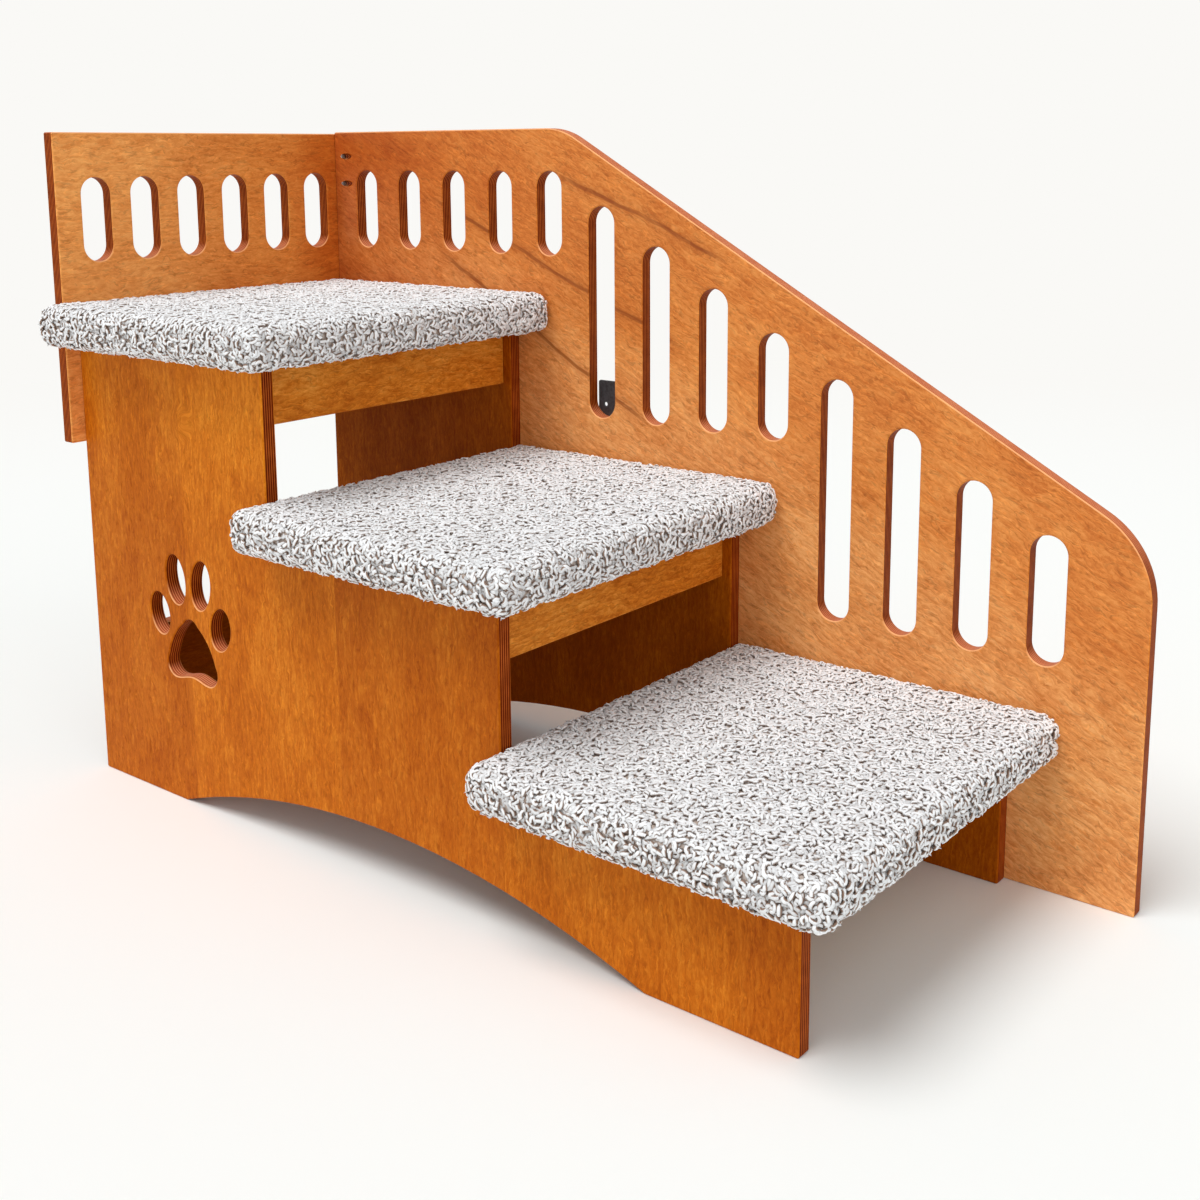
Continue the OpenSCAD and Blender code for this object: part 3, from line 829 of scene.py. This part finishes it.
def yarns(node, seed, keep):
    """All the yarns of one carpet, as arrays: corners, and a tone and a crown for each."""
    rng = np.random.default_rng(seed)
    low, high = (np.array(corner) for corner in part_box(node))
    middles, outs = scattered(rng, low, high, YARN_SPACING)
    kept = keep(middles, outs, low)
    middles, outs = middles[kept], outs[kept]
    count = len(middles)
    steep = 1 - np.clip(outs[:, 2], 0, 1)
    lengths = rng.uniform(*YARN_LENGTH, count)
    halves = rng.uniform(*YARN_HALF, count) * (1 + STEEP_WIDER * steep)
    height = rng.uniform(0, 1, count)
    crests = (TOP_CREST[0] * height ** 2 + TOP_CREST[1]
              + steep * (SIDE_CREST[0] * height + SIDE_CREST[1])) * MM
    places, ups, sides = yarn_path(
        middles, outs, lengths, rng.normal(0, LEAN, count), rng.normal(0, BEND_IN, count),
        swirls(rng), low, high)
    rises = np.tile(RISE, (count, 1))
    free = rng.uniform(0, 1, count) < FREE_SHARE + SIDE_FREE_SHARE * steep
    rises[free, -1] = rng.uniform(*TIP_RISE, free.sum())
    corners = np.empty((count, CORNERS, 3))
    crown = np.zeros((count, CORNERS))
    deep = -BACKING_DEPTH - ROOT_BELOW
    for i in range(len(RISE)):
        middle = places[i] + ups[i] * (deep + (crests - deep) * rises[:, i])[:, None]
        if i in (0, len(RISE) - 1):
            corners[:, 0 if i == 0 else -1] = middle
            crown[:, 0 if i == 0 else -1] = rises[:, i]
            continue
        at = 1 + len(OUTLINE) * (i - 1)
        for j, (across, up, light) in enumerate(OUTLINE):
            corners[:, at + j] = middle + (sides[i] * (halves * rises[:, i] * across)[:, None]
                                           + ups[i] * (halves * up)[:, None])
            crown[:, at + j] = light ** (TOP_SHADE + SIDE_SHADE * steep)
    pressed = corners[..., 0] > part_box("back_rail")[0].x
    corners[pressed, 1] = np.minimum(corners[pressed, 1], joint_y - PRESSED_GAP)
    # Darker on the carpet's sides: painted shade
    tone = np.clip(TONE_START + TONE_BY_HEIGHT * height + rng.normal(0, TONE_SPREAD, count)
                   - SIDE_PAINTED_SHADE * steep, *TONE_RANGE)
    print(node, "yarns:", count)
    return corners, crown, tone


# %% [markdown]
# The yarns of a carpet become a few meshes. Every corner keeps two numbers for the material:
# the yarn's tone, and the crown, from 0 at its foot to 1 on its back. A map lays the faces out
# by the same two, so that a baked picture of it stays small.

# %% Yarn meshes
TONE_DRIFT, MAP_MARGIN = 0.02, 0.02


def yarn_faces():
    """One yarn's triangles: two tips and a tube between."""
    around, last = len(OUTLINE), CORNERS - 1
    faces = []
    for side in range(around):
        after = (side + 1) % around
        faces.append((0, 1 + side, 1 + after))
        faces.append((last, last - around + after, last - around + side))
        for ring in range(len(RISE) - 3):
            a, b = 1 + around * ring + side, 1 + around * ring + after
            faces += [(a, a + around, b + around), (a, b + around, b)]
    return np.array(faces)


def pile_mesh(name, corners, crown, tone):
    """One mesh of many yarns. Its map lays each yarn by tone and crown."""
    count, each = crown.shape
    one = yarn_faces()
    faces = (one[None] + (np.arange(count) * each)[:, None, None]).reshape(-1, 3)
    mesh = bpy.data.meshes.new(name)
    mesh.vertices.add(count * each)
    mesh.vertices.foreach_set("co", corners.ravel())
    mesh.loops.add(faces.size)
    mesh.loops.foreach_set("vertex_index", faces.ravel())
    mesh.polygons.add(len(faces))
    mesh.polygons.foreach_set("loop_start", np.arange(len(faces)) * 3)
    mesh.update(calc_edges=True)
    mesh.shade_smooth()
    shift = np.linspace(-TONE_DRIFT, TONE_DRIFT, each)
    tones = np.clip(tone[:, None] + shift[None], 0, 1)
    for label, values in (("tone", tones), ("crown", crown)):
        made = mesh.attributes.new(label, "FLOAT", "POINT")
        made.data.foreach_set("value", values.ravel())
    layout = np.stack([tones.ravel(), crown.ravel() * (1 - 2 * MAP_MARGIN) + MAP_MARGIN], 1)
    mesh.uv_layers.new(name="OFBake").uv.foreach_set("vector", layout[faces.ravel()].ravel())
    return mesh


print("triangles in a yarn:", len(yarn_faces()))

# %% [markdown]
# The yarns are white on their crowns and brown-grey where they sink between their
# neighbours. That shade is written on the mesh, because white yarn throws so much light
# about that the gaps would fill with it. On the carpet's sides, where the pile is more open,
# the shade reaches further up.

# %% Carpet materials
def yarn_material():
    made, shader, wire = new_material(
        "carpet_yarn", Roughness=0.95, Specular_IOR_Level=0.15, Sheen_Weight=0.15)
    tone, crown = (wire.node("Attribute", {"attribute_name": name}, output="Fac")
                   for name in ("tone", "crown"))
    yarn = tone.step(0.0, 0.8).mix(colour(209, 209, 210), colour(246, 248, 250))
    outline = crown.step(0.0, 0.3).mix(colour(146, 118, 100), colour(188, 181, 177))
    feed(shader, Base_Color=crown.step(0.15, 0.8).mix(outline, yarn))
    return made


def backing_material():
    made, shader, wire = new_material("carpet_backing", Roughness=1.0, Specular_IOR_Level=0.1)
    fuzz = noise(wire, wire.node("TexCoord", output="Object"), 260.0, 3.0)
    feed(shader, Base_Color=fuzz.middle(0.2).mix(colour(172, 153, 140), colour(204, 191, 182)),
         Normal=bumps(fuzz, 0.6, 0.6 * MM))
    return made


yarn_finish, backing_finish = yarn_material(), backing_material()
print("carpet materials ready")

# %% Make the carpets
YARNS_PER_PIECE = 4150
FIRST_SEED = 11
# The pile goes this far in under the board's free edges
PILE_UNDER = 52 * MM
SIDEWAYS, UNDERNEATH = 0.6, -0.5
STEPS = ("top", "middle", "bottom")


def open_sides(places, outs, low):
    """Yarns stand everywhere but against the railing and under the board."""
    by_rail = outs[:, 0] > SIDEWAYS
    below = (outs[:, 2] < UNDERNEATH) & (
        (places[:, 0] > low[0] + PILE_UNDER) & (places[:, 1] > low[1] + PILE_UNDER))
    return ~(by_rail | below)


def flat_size(board):
    """The carpet's cut: over the board, down its four sides, and in under its two free edges."""
    low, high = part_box(board)
    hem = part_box("near_side_panel")[0].x - low.x
    size = high - low
    return size.x + 2 * size.z + hem, size.y + 2 * size.z + hem


for number, step in enumerate(STEPS):
    node = f"{step}_tread_carpet"
    base = backing(node, f"{step}_carpet_backing")
    base.data.materials.clear()
    base.data.materials.append(backing_finish)
    corners, crown, tone = yarns(node, FIRST_SEED + number, open_sides)
    for part, chosen in enumerate(np.array_split(
            np.arange(len(tone)), math.ceil(len(tone) / YARNS_PER_PIECE))):
        name = f"{step}_carpet_pile_{part + 1}"
        mesh = pile_mesh(name, corners[chosen], crown[chosen], tone[chosen])
        mesh.materials.append(yarn_finish)
        add_piece(name, mesh, "carpet", node)
    board = f"{step}_tread_board"
    print(node, "cut in mm:", [round(x / MM) for x in flat_size(board)])

# %% [markdown]
# ## Boards and cleats
#
# Under the carpets are bare plywood boards, and under those the cleats that carry them: sawn
# battens of solid wood. The boards use the same plywood material with pale tones, and the
# cleats the same veneer figure all the way through.

# %% Bare wood
BARE_EDGE = (colour(128, 88, 50), colour(178, 138, 90), colour(222, 190, 146))
BARE = {"tones": (colour(196, 158, 108), colour(214, 180, 132), colour(228, 198, 154)),
        "gloss": 0.1, "edges": (BARE_EDGE, BARE_EDGE)}
BATTEN = {"tones": (colour(150, 96, 48), colour(182, 124, 68), colour(206, 152, 96))}
SAWN_RADIUS, SAWN_ROUGHER, SAWN_BUMP = 1.0 * MM, 0.2, (0.4, 0.3 * MM)
BOARD_SHIFT = 2.3


def solid_wood(name, direction, aside, look):
    made, shader, wire = new_material(name, Specular_IOR_Level=0.15)
    place = wire.node("TexCoord", output="Object")
    grain, side = place.along(direction), place.along(aside)
    deep = place.along(Vector(direction).cross(Vector(aside)))
    wood, roughness, relief = veneer(wire, place, grain, side, deep, look)
    feed(shader, Base_Color=wood, Roughness=roughness + SAWN_ROUGHER,
         Normal=bumps(relief, *SAWN_BUMP))
    return made


batten = solid_wood("batten", (0, 1, 0), UPRIGHT, BATTEN)
for number, step in enumerate(STEPS):
    node = f"{step}_tread_board"
    board = softened(node, node + "_ply", "raw_ply", SAWN_RADIUS)
    finish_sheet(board, node, LEVEL, {**BARE, "offset": number * BOARD_SHIFT})
    for side in ("near", "far"):
        node = f"{step}_{side}_cleat"
        softened(node, node + "_batten", "raw_wood", SAWN_RADIUS).data.materials.append(batten)

# %% [markdown]
# ## Metals
#
# Zinc has a fine mottled bloom. The fixing plate is steel under a thin dark coat with a faint
# grain.

# %% Metal finishes
BLOOM_SCALE, BLOOM_ROUGHER = 300.0, 0.15


def metal(name, dark, pale, roughness, metallic, grain, depth):
    """A mottled metal with a fine grain."""
    made, shader, wire = new_material(name, Metallic=metallic)
    place = wire.node("TexCoord", output="Object")
    bloom = noise(wire, place, BLOOM_SCALE, 3.0)
    fine = noise(wire, place, grain, 2.0)
    feed(shader, Base_Color=bloom.middle(0.2).mix(dark, pale),
         Roughness=bloom.middle(0.3, roughness, roughness + BLOOM_ROUGHER),
         Normal=bumps(fine, 0.3, depth))
    return made


zinc = metal("zinc", colour(150, 150, 146), colour(198, 198, 194),
             roughness=0.3, metallic=1.0, grain=900.0, depth=0.05 * MM)
coat = metal("dark_coat", colour(52, 53, 56), colour(74, 75, 78),
             roughness=0.42, metallic=0.2, grain=1500.0, depth=0.1 * MM)
plate = softened("fixing_plate", "fixing_plate_steel", "dark_steel",
                 radius=0.5 * MM, smallest=1 * MM)
plate.data.materials.append(coat)

# %% [markdown]
# ## Screws
#
# The construction holds each screw as a plain shank with a head. Its place, its way into the
# wood and its sizes are read from that solid, and a real wood screw is built there: a cross
# recess, a smooth neck, a thread and a point. The radius of each ring of corners rises and
# falls with the angle and the depth, which makes the thread's helix.

# %% Measuring a screw
WIDEST_SHARE = 0.9


def islands(node):
    """The separate solids of a node, each as an array of its corners."""
    bm = bmesh.new()
    bm.from_mesh(nodes[node].data)
    bmesh.ops.remove_doubles(bm, verts=bm.verts, dist=NEAR / 2)
    groups = joined(set(bm.verts), lambda vert: {e.other_vert(vert) for e in vert.link_edges})
    found = [np.array([vert.co[:] for vert in group]) for group in groups]
    bm.free()
    return found


def measure_screw(corners):
    """Where the head's top is, the way in, and the sizes."""
    middle = (corners.max(0) + corners.min(0)) / 2
    way = np.linalg.svd(corners - corners.mean(0))[2][0]
    for _ in range(2):
        depth = (corners - middle) @ way
        away = np.linalg.norm(corners - middle - depth[:, None] * way, axis=1)
        if away[depth > 0].max() > away[depth < 0].max():
            way = -way
    wide = away > WIDEST_SHARE * away.max()
    top = depth.min()
    return {"top": middle + way * top, "way": way, "length": depth.max() - top,
            "head": away.max(), "head_height": depth[wide].max() - top,
            "shank": away[depth > 0].max()}


screw_nodes = [node for node in sorted(nodes) if node.endswith("_screws")]
print("nodes with screws:", screw_nodes)

# %% Rings and outlines
AROUND = 16


def ring_of(bm, radii, depth):
    angles = np.arange(AROUND) * 2 * math.pi / AROUND
    return [bm.verts.new((r * math.cos(a), r * math.sin(a), depth))
            for r, a in zip(np.broadcast_to(radii, AROUND), angles)]


def bridge(bm, rings):
    for one, two in zip(rings, rings[1:]):
        for i in range(len(one)):
            j = (i + 1) % len(one)
            bm.faces.new((one[i], two[i], two[j], one[j]))


def cross_outline(reach, half):
    quarter = [(reach, -half), (reach, half), (half, half)]
    turned = []
    for _ in range(4):
        turned += quarter
        quarter = [(-y, x) for x, y in quarter]
    return turned


print("a screw has", AROUND, "sides")

# %% A screw
PITCH, RINGS_PER_PITCH = 1.9 * MM, 5
ROOT_SHARE, CREST_SHARE = 0.7, 0.98
NECK_SHARE, NECK_SLIM = 0.3, 0.95
POINT, TIP, THREAD_GAP = 4 * MM, 0.4 * MM, 0.1 * MM
# Shares of the head's radius and height, from the top of a domed head down
LOWEST_DOME = 1 * MM
DOME = ((0.62, 0.0), (0.84, 0.1), (0.96, 0.35), (1.0, 0.75), (0.97, 1.0))
CONE_DEPTH, CONE_RIM, CONE_TOP_SHARE = 2.2 * MM, 0.15 * MM, 0.93
# The cross at its top and its bottom: shares of the head's radius, and the depth
CROSS = ((0.5, 0.12, 0.0), (0.32, 0.09, 1.5 * MM))


def screw(bm, size):
    """A wood screw along +Z, with its head's top at Z 0."""
    head, shank, length = size["head"], size["shank"], size["length"]
    tall = size["head_height"]
    if tall < LOWEST_DOME:
        neck = CONE_DEPTH
        outline = [(head * CONE_TOP_SHARE, 0.0), (head, CONE_RIM)]
    else:
        neck = tall
        outline = [(head * wide, tall * down) for wide, down in DOME]
    start, end = neck + length * NECK_SHARE, length - POINT
    outline += [(shank * NECK_SLIM, neck), (shank * NECK_SLIM, start)]
    rings = [ring_of(bm, *pair) for pair in outline]
    angles = np.arange(AROUND) / AROUND
    for depth in np.arange(start, length - TIP, PITCH / RINGS_PER_PITCH):
        rise = 1 - np.abs(2 * np.mod(depth / PITCH - angles, 1) - 1)
        radius = shank * (ROOT_SHARE + (CREST_SHARE - ROOT_SHARE) * rise ** 2)
        slim = min(1.0, (length - depth) / (length - end))
        rings.append(ring_of(bm, radius * slim, depth + THREAD_GAP))
    bridge(bm, rings)
    tip = bm.verts.new((0, 0, length))
    for i in range(AROUND):
        bm.faces.new((rings[-1][i], tip, rings[-1][(i + 1) % AROUND]))
    cross = [[bm.verts.new((x, y, depth)) for x, y in cross_outline(head * reach, head * half)]
             for reach, half, depth in CROSS]
    bridge(bm, cross)
    bm.faces.new(cross[1])
    rim = [bm.edges.get((ring[i], ring[i - 1])) for ring in (rings[0], cross[0])
           for i in range(len(ring))]
    bmesh.ops.triangle_fill(bm, edges=rim, use_beauty=True)


print("thread: a turn every", PITCH / MM, "mm")

# %% Make the screws
TURNS_SEED = 5
SCREW_SHARP = 35


def finish_metal(bm, node, name, sharpest):
    """A zinc piece of a mesh. Edges that turn more than sharpest degrees stay sharp."""
    mesh = bpy.data.meshes.new(name)
    bm.to_mesh(mesh)
    bm.free()
    mesh.shade_smooth()
    mesh.set_sharp_from_angle(angle=math.radians(sharpest))
    mesh.materials.append(zinc)
    add_piece(name, mesh, "zinc", node)
    print(node, "faces:", len(mesh.polygons))


def place_screws(node, rng):
    """One mesh with a real screw for each solid of the node."""
    whole = bmesh.new()
    for corners in islands(node):
        size = measure_screw(corners)
        one = bmesh.new()
        screw(one, size)
        way = Vector(size["way"])
        turn = way.to_track_quat("Z", "Y").to_matrix() @ Matrix.Rotation(
            rng.uniform(0, math.pi / 2), 3, "Z")
        bmesh.ops.transform(one, verts=one.verts,
                            matrix=Matrix.Translation(size["top"]) @ turn.to_4x4())
        bmesh.ops.recalc_face_normals(one, faces=one.faces)
        part = bpy.data.meshes.new("one_screw")
        one.to_mesh(part)
        one.free()
        whole.from_mesh(part)
        bpy.data.meshes.remove(part)
    finish_metal(whole, node, node + "_threaded", SCREW_SHARP)


turns = np.random.default_rng(TURNS_SEED)
for node in screw_nodes:
    place_screws(node, turns)

# %% [markdown]
# ## Staples
#
# The carpet's hem is stapled to the board's underside. A staple is one flat wire with two bent
# corners. Its crown lies where the construction has it, and its legs go up into the board.

# %% Staples
LEG, BEND = 12 * MM, 1.2 * MM
WIRE_SIDES = 8
STAPLE_SHARP = 50


def staple(bm, low, high):
    """A bent wire whose crown fills this box."""
    size, middle = high - low, (high + low) / 2
    run = 0 if size[0] > size[1] else 1
    half, wide, thick = size[run] / 2, size[1 - run] / 2, size[2] / 2
    run_way, wide_way = np.eye(3)[run], np.eye(3)[1 - run]
    up = np.array((0.0, 0.0, 1.0))
    path = [(half - thick, LEG, math.pi / 2)]
    for share in (1, 0.5, 0):
        turn = share * math.pi / 2
        x = half - thick - BEND + BEND * math.sin(turn)
        path.append((x, BEND - BEND * math.cos(turn), turn))
    path += [(-x, z, -turn) for x, z, turn in reversed(path)]
    rings = []
    for x, z, turn in path:
        out = -math.cos(turn) * up + math.sin(turn) * run_way
        centre = middle + run_way * x + up * z
        rings.append([
            bm.verts.new(centre + out * thick * math.sin(a) + wide_way * wide * math.cos(a))
            for a in np.arange(WIRE_SIDES) * 2 * math.pi / WIRE_SIDES])
    bridge(bm, rings)
    bm.faces.new(rings[0])
    bm.faces.new(rings[-1])


whole = bmesh.new()
for corners in islands("carpet_staples"):
    staple(whole, corners.min(0), corners.max(0))
bmesh.ops.recalc_face_normals(whole, faces=whole.faces)
finish_metal(whole, "carpet_staples", "carpet_staples_bent", STAPLE_SHARP)
